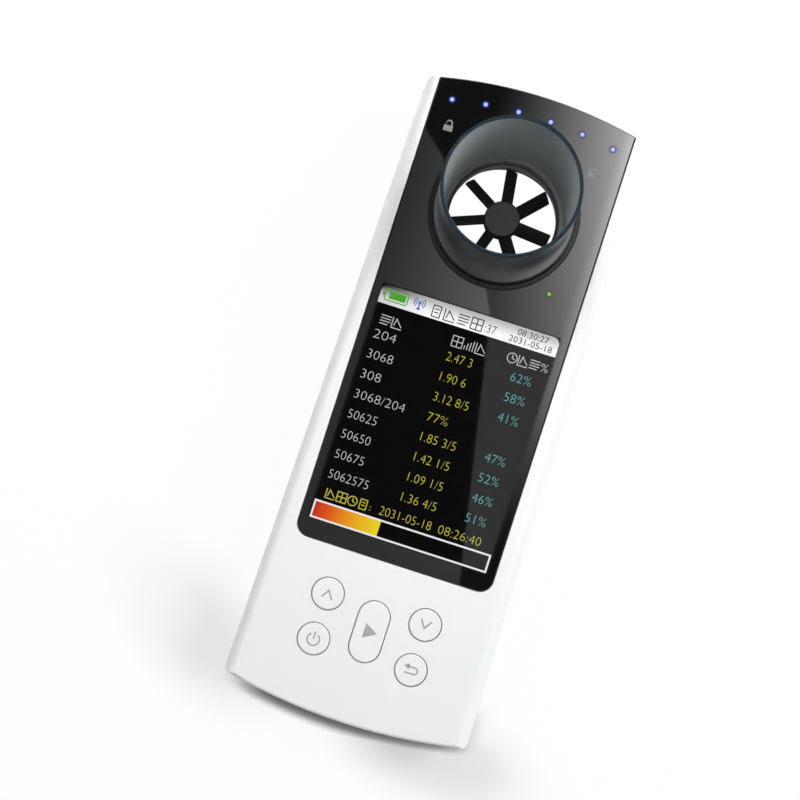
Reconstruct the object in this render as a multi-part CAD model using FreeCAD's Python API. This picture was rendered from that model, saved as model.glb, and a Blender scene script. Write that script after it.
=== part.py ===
"""Handheld turbine spirometer, lying on its back: X is its width, Y its length with the turbine end at +Y,
and Z points out of the face with the screen. The origin is under the middle of the body. Millimetres."""
import FreeCAD
import Part
import math
import os

os.makedirs("parts", exist_ok=True)
V = FreeCAD.Vector
UP = V(0, 0, 1)

# Body: a tapered slab with soft sides and bowed ends
BODY_LENGTH = 153.8
BODY_THICK = 20.0
TOP_HALF_WIDTH = 27.6
BOTTOM_HALF_WIDTH = 30.7
SIDE_BULGE = 3.5
SIDE_CORNER_SHARE = 0.65
TOP_BOW_RADIUS = 109.0
BOTTOM_BOW_RADIUS = 138.0
PLAN_CORNER_RADIUS = 2.4
END_EDGE_RADIUS = 0.9
SPLIT_Z = 9.8
SIDE_WALL = 2.0
FRONT_WALL = 2.2
BACK_WALL = 2.2
LIP_THICK = 0.9
LIP_HEIGHT = 1.5
LIP_GAP = 0.1

# Front glass and screen
GLASS_THICK = 1.2
GLASS_HALF_WIDTH = 23.9
GLASS_BELOW_SCREEN = 4.6
GLASS_ABOVE_KEYS = 11.15
GLASS_CORNER_RADIUS = 3.3
GLASS_GAP = 0.1
GLASS_END_STEP = 0.25
GLASS_BEVEL = 0.3
SCREEN_HALF_WIDTH = 21.7
SCREEN_FROM_TURBINE = 23.9
LCD_SIDE_BORDER = 0.7
LCD_LOW_BORDER = 3.0
LCD_HIGH_BORDER = 2.4
LCD_THICK = 2.3
LCD_GAP = 0.3

# Turbine unit on its own axis, square to the face
TURBINE_FROM_TOP = 29.3
MOUTH_BORE_RADIUS = 14.4
MOUTH_ROOT_WALL = 1.4
MOUTH_TIP_WALL = 0.8
MOUTH_PROJECTION = 23.0
MOUTH_RIM_BEVEL = 0.2
SHOULDER_DEPTH = 4.3
RING_OUT_RADIUS = 13.4
RING_IN_RADIUS = 12.75
RING_HEIGHT = 0.8
RING_GROOVE = 0.3
THROAT_RADIUS = 13.05
THROAT_DEPTH = 8.0
FLARE_ANGLE = 18.5
UNIT_LENGTH_BELOW = 12.0
UNIT_FLANGE_RADIUS = 16.55
UNIT_FLANGE_HEIGHT = 1.8
BEAD_HEIGHT = 0.6
BEAD_PROUD = 0.45

# Lock collar, which turns on the tube and holds the unit down by two lugs
COLLAR_RADIUS = 17.85
COLLAR_GAP = 0.15
COLLAR_SKIRT_WALL = 0.7
COLLAR_LIFT = 0.15
COLLAR_RIM_HEIGHT = 0.7
COLLAR_HEIGHT = 1.45
COLLAR_STEP = 0.85
COLLAR_EDGE = 0.3
COLLAR_GROOVE = 0.2
LUG_COUNT = 2
LUG_ANGLE = 139.0
LUG_WIDTH_DEG = 26.0
LUG_RADIUS = 17.4
LUG_HEIGHT = 2.0
LUG_DEPTH = 5.6
NOTCH_CLEAR_DEG = 3.0
INDEX_ANGLE = 202.0
INDEX_WIDTH_DEG = 8.0
INDEX_DEPTH = 0.5
INDEX_BITE = 0.25

# Socket, seal and outlet
SOCKET_GAP = 0.15
SOCKET_WALL = 1.45
LEDGE_DEPTH = 5.2
UNDERCUT_DEPTH = 8.6
FLOOR_WIDTH = 2.6
SEAL_THICK = 0.8
SEAL_GAP = 0.1
OUTLET_FLANGE = 1.2
OUTLET_LIP = 0.3

# Rotor, its shaft and the bridge that carries it
BLADE_COUNT = 7
BLADE_PHASE = 98.0
BLADE_OFFSET = 0.5
BLADE_TIP_RADIUS = 12.15
BLADE_CHORD = 3.45
BLADE_THICK = 0.6
BLADE_PITCH = 45.0
HUB_RADIUS = 4.3
HUB_HEIGHT = 3.0
HUB_EDGE = 0.3
SHAFT_RADIUS = 0.5
SHAFT_GAP = 0.03
SHAFT_TAIL = 1.2
BUSH_RADIUS = 1.2
BUSH_LENGTH = 1.6
BUSH_RELIEF = 0.2
BOSS_RADIUS = 1.9
BOSS_GAP = 0.3
BOSS_LENGTH = 5.0
ARM_WIDTH = 0.8
ARM_HEIGHT = 1.6
ARM_BLADES = (0, 3, 4)
CLIP_RADIUS = 1.1
CLIP_THICK = 0.4

# Keys, their places on the face, and the switches below them
KEY_RADIUS = 3.75
KEY_X = 11.9
KEY_LOW_FROM_END = 16.75
KEY_PITCH_Y = 11.0
PLAY_HALF_WIDTH = 3.7
PLAY_HALF_LENGTH = 7.3
KEY_GAP = 0.22
KEY_EDGE = 0.25
KEY_FLANGE = 0.85
KEY_FLANGE_THICK = 0.8
KEY_FLANGE_GAP = 0.1
KEY_STEM_RADIUS = 1.5
KEY_TRAVEL = 0.4
PLUNGER_RADIUS = 1.0
PLUNGER_LENGTH = 1.2
PLUNGER_GAP = 0.1
SWITCH_SIZE = 6.0
SWITCH_HEIGHT = 2.6
SWITCH_WELL = 1.4

# Board and what stands on it
BOARD_THICK = 1.2
BOARD_GAP = 0.8
BOARD_HOLE_GAP = 0.3
LED_INSET = 5.4
LED_XS = (-19.65, -11.8, -3.93, 3.93, 11.8, 19.65)
READY_LED_FROM_TURBINE = (15.8, -14.6)
GUIDE_SIDE = 1.9
GUIDE_GAP = 0.1
LED_SIZE = (1.6, 0.9, 0.7)
IR_RADIUS = 1.5
IR_LENGTH = 4.2
IR_FLANGE_RADIUS = 1.9
IR_FLANGE_THICK = 1.0
IR_LEG = 0.5
IR_LEG_SPREAD = 1.27
PORT_SIZE = (8.94, 7.35, 3.2)
PORT_STEP = 0.4
PORT_GAP = 0.2
PORT_CUT_DEPTH = 12.0
PORT_WALL = 0.3
PORT_BACK_WALL = 1.0
PORT_TONGUE = (6.5, 0.7)
BUZZER_X = 12.0
BUZZER_FROM_END = 20.9
BUZZER_RADIUS = 4.5
BUZZER_HEIGHT = 3.0
SOUND_HOLE_RADIUS = 0.6
SOUND_RING_RADIUS = 2.2
SOUND_HOLE_COUNT = 6
CHIP_SIZE = (10.0, 10.0, 1.4)
CHIP_ABOVE_SCREEN_EDGE = 25.4
RADIO_SIZE = (12.0, 16.0, 2.0)
RADIO_X = -15.0
RADIO_ABOVE_SCREEN_EDGE = 10.4
BATTERY_WIDTH = 34.0
BATTERY_THICK = 5.4
BATTERY_BELOW_SCREEN_EDGE = 6.6
BATTERY_FROM_TURBINE = 33.6
PAD_INSET = 10.0
PAD_SIZE = (24.0, 0.8)
LEAD_RADIUS = 0.55
LEAD_SPREAD = 1.3
LEAD_LENGTH = 5.0
PLUG_SIZE = (7.0, 4.5, 3.4)
FLEX_WIDTH = 20.0
FLEX_THICK = 0.15
FLEX_INTO_SCREEN = 0.5
FLEX_PLUG_SIZE = (22.0, 4.0, 1.3)

# Screws
SCREW_TOP_INSET = (6.6, 12.7)
SCREW_LOW_INSET = (9.2, 9.9)
SCREW_RADIUS = 1.0
SCREW_HEAD_RADIUS = 1.9
SCREW_HEAD_THICK = 1.3
SCREW_HEAD_SUNK = 0.4
SCREW_GRIP = 4.5
SCREW_GAP = 0.15
BACK_BOSS_WALL = 1.1
FRONT_BOSS_RADIUS = 2.6
BOARD_SCREW_X = 20.5
BOARD_SCREW_BELOW_GLASS = 4.5
BOARD_SCREW_ABOVE_SCREEN = 0.3
BOARD_SCREW_RADIUS = 0.8
BOARD_SCREW_HEAD_RADIUS = 1.5
BOARD_SCREW_HEAD_THICK = 0.9
BOARD_SCREW_LENGTH = 5.0
POST_RADIUS = 2.2

# Places along the body and heights that follow from the values above
TOP_Y = BODY_LENGTH / 2
TURBINE_Y = TOP_Y - TURBINE_FROM_TOP
KEY_LOW_Y = KEY_LOW_FROM_END - TOP_Y
KEY_HIGH_Y = KEY_LOW_Y + KEY_PITCH_Y
GLASS_BOTTOM_Y = KEY_HIGH_Y + GLASS_ABOVE_KEYS
SCREEN_LOW_Y = GLASS_BOTTOM_Y + GLASS_BELOW_SCREEN
SCREEN_HIGH_Y = TURBINE_Y - SCREEN_FROM_TURBINE
READY_LED = (READY_LED_FROM_TURBINE[0], TURBINE_Y + READY_LED_FROM_TURBINE[1])
BUZZER_PLACE = (BUZZER_X, BUZZER_FROM_END - TOP_Y)
CHIP_Y = SCREEN_LOW_Y + CHIP_ABOVE_SCREEN_EDGE
RADIO_PLACE = (RADIO_X, SCREEN_LOW_Y + RADIO_ABOVE_SCREEN_EDGE)
BATTERY_LOW_Y = SCREEN_LOW_Y - BATTERY_BELOW_SCREEN_EDGE
BATTERY_LENGTH = TURBINE_Y - BATTERY_FROM_TURBINE - BATTERY_LOW_Y
BATTERY_Y = BATTERY_LOW_Y + BATTERY_LENGTH / 2
SCREW_TOP = (TOP_HALF_WIDTH - SCREW_TOP_INSET[0], TOP_Y - SCREW_TOP_INSET[1])
SCREW_LOW = (BOTTOM_HALF_WIDTH - SCREW_LOW_INSET[0], SCREW_LOW_INSET[1] - TOP_Y)
SCREW_PLACES = [(side * x, y) for x, y in (SCREW_TOP, SCREW_LOW) for side in (-1, 1)]
BOARD_SCREW_YS = (GLASS_BOTTOM_Y - BOARD_SCREW_BELOW_GLASS, SCREEN_HIGH_Y + BOARD_SCREW_ABOVE_SCREEN)
BOARD_SCREW_PLACES = [(side * BOARD_SCREW_X, y) for y in BOARD_SCREW_YS for side in (-1, 1)]
FACE = BODY_THICK
CEILING = FACE - FRONT_WALL
GLASS_BACK = FACE - GLASS_THICK
BOARD_LOW = SPLIT_Z
BOARD_HIGH = BOARD_LOW + BOARD_THICK
TUBE_RADIUS = MOUTH_BORE_RADIUS + MOUTH_ROOT_WALL
TIP_RADIUS = MOUTH_BORE_RADIUS + MOUTH_TIP_WALL
MOUTH_TOP = FACE + MOUTH_PROJECTION
SHOULDER_Z = FACE - SHOULDER_DEPTH
THROAT_Z = FACE - THROAT_DEPTH
UNIT_LOW = FACE - UNIT_LENGTH_BELOW
FLARE = math.tan(math.radians(FLARE_ANGLE))
SKIRT_IN = TUBE_RADIUS + COLLAR_GAP
SKIRT_OUT = SKIRT_IN + COLLAR_SKIRT_WALL
NOTCH_RADIUS = LUG_RADIUS + SOCKET_GAP
SOCKET_RADIUS = NOTCH_RADIUS + SOCKET_WALL
SOCKET_LOW = UNIT_LOW - SEAL_GAP - SEAL_THICK
SKIRT_LOW = UNIT_LOW + UNIT_FLANGE_HEIGHT + COLLAR_GAP
OUTLET_TOP_RADIUS = THROAT_RADIUS + (THROAT_Z - SOCKET_LOW) * FLARE
OUTLET_LOW_RADIUS = THROAT_RADIUS + THROAT_Z * FLARE
LED_ARC_RADIUS = TOP_BOW_RADIUS - LED_INSET
KEYS = {
    "up": (-KEY_X, KEY_HIGH_Y),
    "power": (-KEY_X, KEY_LOW_Y),
    "play": (0.0, (KEY_HIGH_Y + KEY_LOW_Y) / 2),
    "down": (KEY_X, KEY_HIGH_Y),
    "back": (KEY_X, KEY_LOW_Y),
}


def block(x_mid, y_mid, z_low, size):
    return Part.makeBox(size[0], size[1], size[2], V(x_mid - size[0] / 2, y_mid - size[1] / 2, z_low))


def post(x, y, z_low, z_high, radius):
    return Part.makeCylinder(radius, z_high - z_low, V(x, y, z_low))


def turbine_post(z_low, z_high, radius):
    return post(0, TURBINE_Y, z_low, z_high, radius)


def turned(points):
    """A ring or tube turned about the turbine's axis from its half profile of (radius, height) points."""
    wire = Part.makePolygon([V(r, TURBINE_Y, z) for r, z in points + points[:1]])
    return Part.Face(wire).revolve(V(0, TURBINE_Y, 0), UP, 360)


def about_turbine(shape, angle):
    return shape.rotated(V(0, TURBINE_Y, 0), UP, angle)


def save(name, shape):
    shape.exportStep("parts/" + name + ".step")


def side_profile(bulge, z_low, z_high):
    """Section of one soft side on the XZ plane: a tight arc off each flat face, joined by one long shallow arc."""
    half = (z_high - z_low) / 2
    z_mid = (z_low + z_high) / 2
    tight = bulge * SIDE_CORNER_SHARE
    rise = half - tight
    shallow = (bulge ** 2 + rise ** 2 - tight ** 2) / (2 * (bulge - tight))
    turn = math.atan2(shallow - bulge, rise)
    centre = V(bulge - shallow, 0, z_mid)
    join = centre + V(math.sin(turn), 0, math.cos(turn)) * shallow
    arcs = []
    for up in (1, -1):
        face_point = V(0, 0, z_mid + up * half)
        half_turn = turn / 2
        on_arc = V(tight * math.sin(half_turn), 0, z_mid + up * (rise + tight * math.cos(half_turn)))
        end = V(join.x, 0, z_mid + up * (join.z - z_mid))
        arcs.append(Part.Arc(face_point, on_arc, end).toShape())
    low_join = V(join.x, 0, 2 * z_mid - join.z)
    arcs.append(Part.Arc(join, V(bulge, 0, z_mid), low_join).toShape())
    arcs.append(Part.makeLine(V(0, 0, z_low), V(0, 0, z_high)))
    return Part.Face(Part.Wire(Part.__sortEdges__(arcs)))


def tapered_bar(inset_mid, inset_face, z_low, z_high):
    """The slab before its ends are cut: flat front and back, with a soft side run down each tapered edge."""
    reach = BODY_LENGTH * 0.55
    taper = math.atan2(BOTTOM_HALF_WIDTH - TOP_HALF_WIDTH, BODY_LENGTH)
    face_mid = (TOP_HALF_WIDTH + BOTTOM_HALF_WIDTH) / 2 - SIDE_BULGE - inset_face
    slope = math.tan(taper)
    bulge = SIDE_BULGE + inset_face - inset_mid
    low, high = face_mid + slope * reach, face_mid - slope * reach
    corners = [V(low, -reach, z_low), V(high, reach, z_low), V(-high, reach, z_low), V(-low, -reach, z_low)]
    middle = Part.Face(Part.makePolygon(corners + corners[:1])).extrude(V(0, 0, z_high - z_low))
    profile = side_profile(bulge, z_low, z_high)
    side = profile.extrude(V(0, 2 * reach / math.cos(taper), 0))
    side.rotate(V(0, 0, 0), UP, math.degrees(taper))
    side.translate(V(low, -reach, 0))
    other = side.mirror(V(0, 0, 0), V(1, 0, 0))
    return middle.multiFuse([side, other]).removeSplitter()


def bow(radius, y_mid, side, x_half):
    """An end arc of the plan outline, bulging along Y, from one side to the other."""
    drop = radius - math.sqrt(radius ** 2 - x_half ** 2)
    y_corner = y_mid - side * drop
    return Part.Arc(V(-x_half, y_corner, 0), V(0, y_mid, 0), V(x_half, y_corner, 0)).toShape(), y_corner


def plan_prism(inset, corner_radius, z_low, z_high):
    """Upright prism of the plan outline. Its sides stand just outside the slab, so only the ends cut it."""
    margin = 0.5
    reach_top = TOP_HALF_WIDTH - inset + margin
    reach_low = BOTTOM_HALF_WIDTH - inset + margin
    top, y_top = bow(TOP_BOW_RADIUS - inset, TOP_Y - inset, 1, reach_top)
    low, y_low = bow(BOTTOM_BOW_RADIUS - inset, inset - TOP_Y, -1, reach_low)
    right = Part.makeLine(V(reach_top, y_top, 0), V(reach_low, y_low, 0))
    left = Part.makeLine(V(-reach_top, y_top, 0), V(-reach_low, y_low, 0))
    wire = Part.Wire(Part.__sortEdges__([top, right, low, left]))
    prism = Part.Face(wire).extrude(V(0, 0, z_high - z_low))
    prism.translate(V(0, 0, z_low))
    corners = [e for e in prism.Edges if abs(e.tangentAt(e.FirstParameter).z) > 0.99]
    return prism.makeFillet(corner_radius, corners)


def end_disc(radius, y_mid, side, z_low, z_high, edge_radius):
    """A flat disc whose rim is one bowed end of the body, with its two edges softened."""
    disc = Part.makeCylinder(radius, z_high - z_low, V(0, y_mid - side * radius, z_low))
    if edge_radius > 0:
        disc = disc.makeFillet(edge_radius, [e for e in disc.Edges if e.BoundBox.ZLength < 0.001])
    return disc


def slab(inset_mid, inset_face, inset_end, z_low, z_high, corner_radius, edge_radius=0):
    bar = tapered_bar(inset_mid, inset_face, z_low, z_high)
    bar = bar.common(plan_prism(inset_end, corner_radius, z_low, z_high))
    if edge_radius > 0:
        bar = bar.common(end_disc(TOP_BOW_RADIUS, TOP_Y, 1, z_low, z_high, edge_radius))
        bar = bar.common(end_disc(BOTTOM_BOW_RADIUS, -TOP_Y, -1, z_low, z_high, edge_radius))
    return bar


def glass_outline(grow, end_y, z_low, thick):
    """Plan of the glass: straight sides, rounded lower corners and a top edge that follows the body's bow."""
    half = GLASS_HALF_WIDTH + grow
    low = GLASS_BOTTOM_Y - grow
    top, y_corner = bow(TOP_BOW_RADIUS, end_y, 1, half)
    right = Part.makeLine(V(half, y_corner, 0), V(half, low, 0))
    bottom = Part.makeLine(V(half, low, 0), V(-half, low, 0))
    left = Part.makeLine(V(-half, low, 0), V(-half, y_corner, 0))
    plate = Part.Face(Part.Wire([top, right, bottom, left])).extrude(V(0, 0, thick))
    plate.translate(V(0, 0, z_low))
    corners = []
    for edge in plate.Edges:
        if abs(edge.tangentAt(edge.FirstParameter).z) > 0.99 and edge.BoundBox.YMax < 0:
            corners.append(edge)
    return plate.makeFillet(GLASS_CORNER_RADIUS + grow, corners)


def key_column(name, grow, z_low, z_high):
    """A round key's outline, or the play key's stadium outline, made into a column."""
    x, y = KEYS[name]
    if name != "play":
        return post(x, y, z_low, z_high, KEY_RADIUS + grow)
    radius = PLAY_HALF_WIDTH + grow
    straight = PLAY_HALF_LENGTH - PLAY_HALF_WIDTH
    middle = block(x, y, z_low, (2 * radius, 2 * straight, z_high - z_low))
    ends = [post(x, y + side * straight, z_low, z_high, radius) for side in (1, -1)]
    return middle.multiFuse(ends).removeSplitter()


def upper_rim(shape, z):
    return [e for e in shape.Edges if abs(e.BoundBox.ZMin - z) < 0.001 and abs(e.BoundBox.ZMax - z) < 0.001]


def led_place(x):
    centre_y = TOP_Y - TOP_BOW_RADIUS
    return x, centre_y + math.sqrt(LED_ARC_RADIUS ** 2 - x ** 2)


LED_PLACES = [led_place(x) for x in LED_XS] + [READY_LED]


def housing_shell():
    outer = slab(0, 0, 0, 0, FACE, PLAN_CORNER_RADIUS, END_EDGE_RADIUS)
    face_inset = SIDE_WALL / 2
    inner = slab(SIDE_WALL, face_inset, SIDE_WALL, BACK_WALL, CEILING, PLAN_CORNER_RADIUS / 2)
    return outer, inner


def make_front_cover(outer, inner):
    above = level_band(SPLIT_Z, FACE + 1)
    cover = outer.common(above).cut(inner)
    for x, y in SCREW_PLACES:
        cover = cover.fuse(post(x, y, SPLIT_Z, CEILING + FRONT_WALL / 4, FRONT_BOSS_RADIUS))
    cuts = [glass_outline(GLASS_GAP, TOP_Y + 2, GLASS_BACK, GLASS_THICK + 2)]
    lcd_half = SCREEN_HALF_WIDTH + LCD_SIDE_BORDER + LCD_GAP
    lcd_low = SCREEN_LOW_Y - LCD_LOW_BORDER - LCD_GAP
    lcd_high = SCREEN_HIGH_Y + LCD_HIGH_BORDER + LCD_GAP
    cuts.append(Part.makeBox(2 * lcd_half, lcd_high - lcd_low, FRONT_WALL + 2, V(-lcd_half, lcd_low, CEILING - 1)))
    cuts.append(turbine_post(CEILING - 1, FACE, SOCKET_RADIUS + SOCKET_GAP))
    for name in KEYS:
        cuts.append(key_column(name, KEY_GAP, CEILING - 1, FACE + 1))
    guide_hole = GUIDE_SIDE + 2 * GUIDE_GAP
    for x, y in LED_PLACES:
        cuts.append(block(x, y, CEILING - 1, (guide_hole, guide_hole, FRONT_WALL)))
    for x, y in SCREW_PLACES:
        cuts.append(post(x, y, SPLIT_Z - 1, SPLIT_Z + SCREW_GRIP, SCREW_RADIUS))
    return cover.cut(Part.makeCompound(cuts))


def ring_slab(inset):
    """The housing's slab drawn in by one amount all round, for the lip that joins the two covers."""
    return slab(inset, inset / 2, inset, BACK_WALL, CEILING, PLAN_CORNER_RADIUS / 2)


def level_band(z_low, z_high):
    return block(0, 0, z_low, (2 * BODY_LENGTH, 2 * BODY_LENGTH, z_high - z_low))


def make_rear_cover(outer, inner):
    below = level_band(0, SPLIT_Z)
    lip_inset = SIDE_WALL + LIP_GAP + LIP_THICK
    lip_inner = ring_slab(lip_inset)
    root = ring_slab(SIDE_WALL / 2).common(level_band(SPLIT_Z - LIP_HEIGHT, SPLIT_Z))
    tongue = ring_slab(SIDE_WALL + LIP_GAP).common(level_band(SPLIT_Z - LIP_HEIGHT, SPLIT_Z + LIP_HEIGHT))
    lip = root.fuse(tongue).cut(lip_inner)
    cover = outer.common(below).cut(inner).fuse(lip)
    for x, y in SCREW_PLACES:
        cover = cover.fuse(post(x, y, BACK_WALL / 2, SPLIT_Z, SCREW_HEAD_RADIUS + SCREW_GAP + BACK_BOSS_WALL))
    for x, y in BOARD_SCREW_PLACES:
        cover = cover.fuse(post(x, y, BACK_WALL / 2, BOARD_LOW, POST_RADIUS))
    cuts = [turbine_post(-1, BACK_WALL + 1, OUTLET_LOW_RADIUS + OUTLET_FLANGE + SOCKET_GAP)]
    head_seat = SCREW_HEAD_SUNK + SCREW_HEAD_THICK
    above_lip = SPLIT_Z + 2 * LIP_HEIGHT
    for x, y in SCREW_PLACES:
        cuts.append(post(x, y, -1, above_lip, SCREW_RADIUS + SCREW_GAP))
        cuts.append(post(x, y, -1, head_seat, SCREW_HEAD_RADIUS + SCREW_GAP))
        cuts.append(post(x, y, SPLIT_Z, SPLIT_Z + LIP_HEIGHT + 1, FRONT_BOSS_RADIUS + SCREW_GAP))
    for x, y in BOARD_SCREW_PLACES:
        cuts.append(post(x, y, BOARD_HIGH - BOARD_SCREW_LENGTH, above_lip, BOARD_SCREW_RADIUS))
    port_width = PORT_SIZE[0] + 2 * PORT_GAP
    port_height = PORT_SIZE[2] + 2 * PORT_GAP
    port_low = BOARD_LOW - PORT_SIZE[2] - PORT_GAP
    port_cut = block(0, -TOP_Y, port_low, (port_width, PORT_CUT_DEPTH, port_height))
    long_edges = [e for e in port_cut.Edges if e.BoundBox.YLength > PORT_CUT_DEPTH / 2]
    cuts.append(port_cut.makeFillet(port_height * 0.45, long_edges))
    bx, by = BUZZER_PLACE
    cuts.append(post(bx, by, -1, BACK_WALL + 1, SOUND_HOLE_RADIUS))
    for i in range(SOUND_HOLE_COUNT):
        turn = math.tau * i / SOUND_HOLE_COUNT
        hx = bx + SOUND_RING_RADIUS * math.cos(turn)
        hy = by + SOUND_RING_RADIUS * math.sin(turn)
        cuts.append(post(hx, hy, -1, BACK_WALL + 1, SOUND_HOLE_RADIUS))
    return cover.cut(Part.makeCompound(cuts))


def make_glass():
    plate = glass_outline(0, TOP_Y - GLASS_END_STEP, GLASS_BACK, GLASS_THICK)
    plate = plate.makeChamfer(GLASS_BEVEL, upper_rim(plate, FACE))
    return plate.cut(turbine_post(GLASS_BACK - 1, FACE + 1, NOTCH_RADIUS))


def make_lcd():
    half = SCREEN_HALF_WIDTH + LCD_SIDE_BORDER
    low = SCREEN_LOW_Y - LCD_LOW_BORDER
    length = SCREEN_HIGH_Y + LCD_HIGH_BORDER - low
    return Part.makeBox(2 * half, length, LCD_THICK, V(-half, low, GLASS_BACK - LCD_THICK))


def make_mouth_tube():
    """A straight bore and a wall that thins to the lip, with a bead low down that keeps the collar on."""
    bead_low = FACE + COLLAR_HEIGHT + COLLAR_LIFT + COLLAR_GAP
    bead_radius = TUBE_RADIUS + BEAD_PROUD
    bead_high = bead_low + BEAD_HEIGHT + BEAD_PROUD
    lip_low = MOUTH_TOP - MOUTH_RIM_BEVEL
    return turned([
        (MOUTH_BORE_RADIUS, SHOULDER_Z), (TUBE_RADIUS, SHOULDER_Z), (TUBE_RADIUS, bead_low),
        (bead_radius, bead_low),
        (bead_radius, bead_low + BEAD_HEIGHT / 2), (TUBE_RADIUS, bead_high), (TIP_RADIUS, lip_low),
        (TIP_RADIUS - MOUTH_RIM_BEVEL, MOUTH_TOP), (MOUTH_BORE_RADIUS + MOUTH_RIM_BEVEL, MOUTH_TOP),
        (MOUTH_BORE_RADIUS, lip_low),
    ])


def make_turbine_body():
    low_radius = THROAT_RADIUS + (THROAT_Z - UNIT_LOW) * FLARE
    flange_top = UNIT_LOW + UNIT_FLANGE_HEIGHT
    ring_low = SHOULDER_Z - RING_HEIGHT
    groove_radius = RING_OUT_RADIUS + RING_GROOVE
    groove_low = SHOULDER_Z - RING_GROOVE
    return turned([
        (low_radius, UNIT_LOW), (UNIT_FLANGE_RADIUS, UNIT_LOW), (UNIT_FLANGE_RADIUS, flange_top),
        (TUBE_RADIUS, flange_top), (TUBE_RADIUS, SHOULDER_Z), (groove_radius, SHOULDER_Z),
        (groove_radius, groove_low), (RING_OUT_RADIUS, groove_low), (RING_OUT_RADIUS, SHOULDER_Z),
        (RING_IN_RADIUS, SHOULDER_Z), (RING_IN_RADIUS, ring_low), (THROAT_RADIUS, ring_low), (THROAT_RADIUS, THROAT_Z),
    ])


def bridge_heights():
    hub_low = SHOULDER_Z - HUB_HEIGHT
    boss_high = hub_low - BOSS_GAP
    return boss_high, boss_high - BOSS_LENGTH


def make_rotor_bridge():
    boss_high, boss_low = bridge_heights()
    bridge = turbine_post(boss_low, boss_high, BOSS_RADIUS)
    reach = THROAT_RADIUS * 2
    arm_low = UNIT_LOW + BOSS_GAP
    for blade in ARM_BLADES:
        arm = Part.makeBox(reach, ARM_WIDTH, ARM_HEIGHT, V(0, TURBINE_Y - BLADE_OFFSET - ARM_WIDTH / 2, arm_low))
        bridge = bridge.fuse(about_turbine(arm, BLADE_PHASE + blade * 360 / BLADE_COUNT))
    low_radius = THROAT_RADIUS + (THROAT_Z - UNIT_LOW) * FLARE
    airway = Part.makeCone(low_radius, THROAT_RADIUS, THROAT_Z - UNIT_LOW, V(0, TURBINE_Y, UNIT_LOW))
    airway = airway.fuse(turbine_post(0, FACE, BOSS_RADIUS))
    bridge = bridge.common(airway)
    clear = turbine_post(0, FACE, SHAFT_RADIUS + BUSH_RELIEF)
    pockets = [turbine_post(boss_high - BUSH_LENGTH, FACE, BUSH_RADIUS)]
    pockets.append(turbine_post(0, boss_low + BUSH_LENGTH, BUSH_RADIUS))
    return bridge.cut(Part.makeCompound([clear] + pockets))


def make_bushes():
    boss_high, boss_low = bridge_heights()
    bore = SHAFT_RADIUS + SHAFT_GAP
    bushes = []
    for low in (boss_high - BUSH_LENGTH, boss_low):
        bushes.append(turbine_post(low, low + BUSH_LENGTH, BUSH_RADIUS).cut(turbine_post(0, FACE, bore)))
    return Part.makeCompound(bushes)


def make_rotor():
    hub_low = SHOULDER_Z - HUB_HEIGHT
    hub = turbine_post(hub_low, SHOULDER_Z, HUB_RADIUS)
    hub = hub.makeChamfer(HUB_EDGE, upper_rim(hub, SHOULDER_Z))
    centre_z = SHOULDER_Z - HUB_HEIGHT / 2
    root = HUB_RADIUS / 2
    span = BLADE_TIP_RADIUS + 1 - root
    blade = Part.makeBox(span, BLADE_CHORD, BLADE_THICK, V(root, -BLADE_CHORD / 2, -BLADE_THICK / 2))
    blade.rotate(V(0, 0, 0), V(1, 0, 0), BLADE_PITCH)
    blade.translate(V(0, TURBINE_Y - BLADE_OFFSET, centre_z))
    trim = turbine_post(0, FACE, BLADE_TIP_RADIUS)
    blade = blade.common(trim)
    blades = []
    for i in range(BLADE_COUNT):
        blades.append(about_turbine(blade, BLADE_PHASE + i * 360 / BLADE_COUNT))
    rotor = hub.multiFuse(blades)
    return rotor.cut(turbine_post(hub_low - 1, SHOULDER_Z - SHAFT_TAIL, SHAFT_RADIUS))


def make_shaft():
    boss_low = bridge_heights()[1]
    return turbine_post(boss_low - SHAFT_TAIL, SHOULDER_Z - SHAFT_TAIL, SHAFT_RADIUS)


def make_shaft_clip():
    boss_low = bridge_heights()[1]
    high = boss_low - SHAFT_GAP
    return turbine_post(high - CLIP_THICK, high, CLIP_RADIUS).cut(turbine_post(0, FACE, SHAFT_RADIUS))


def sector(radius, z_low, z_high, width_deg, angle):
    """A wedge about the turbine's axis, centred on an angle, for the lugs and their notches."""
    wedge = Part.makeCylinder(radius, z_high - z_low, V(0, TURBINE_Y, z_low), UP, width_deg)
    return about_turbine(wedge, angle - width_deg / 2)


def lug_angles():
    return [LUG_ANGLE + i * 360 / LUG_COUNT for i in range(LUG_COUNT)]


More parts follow.
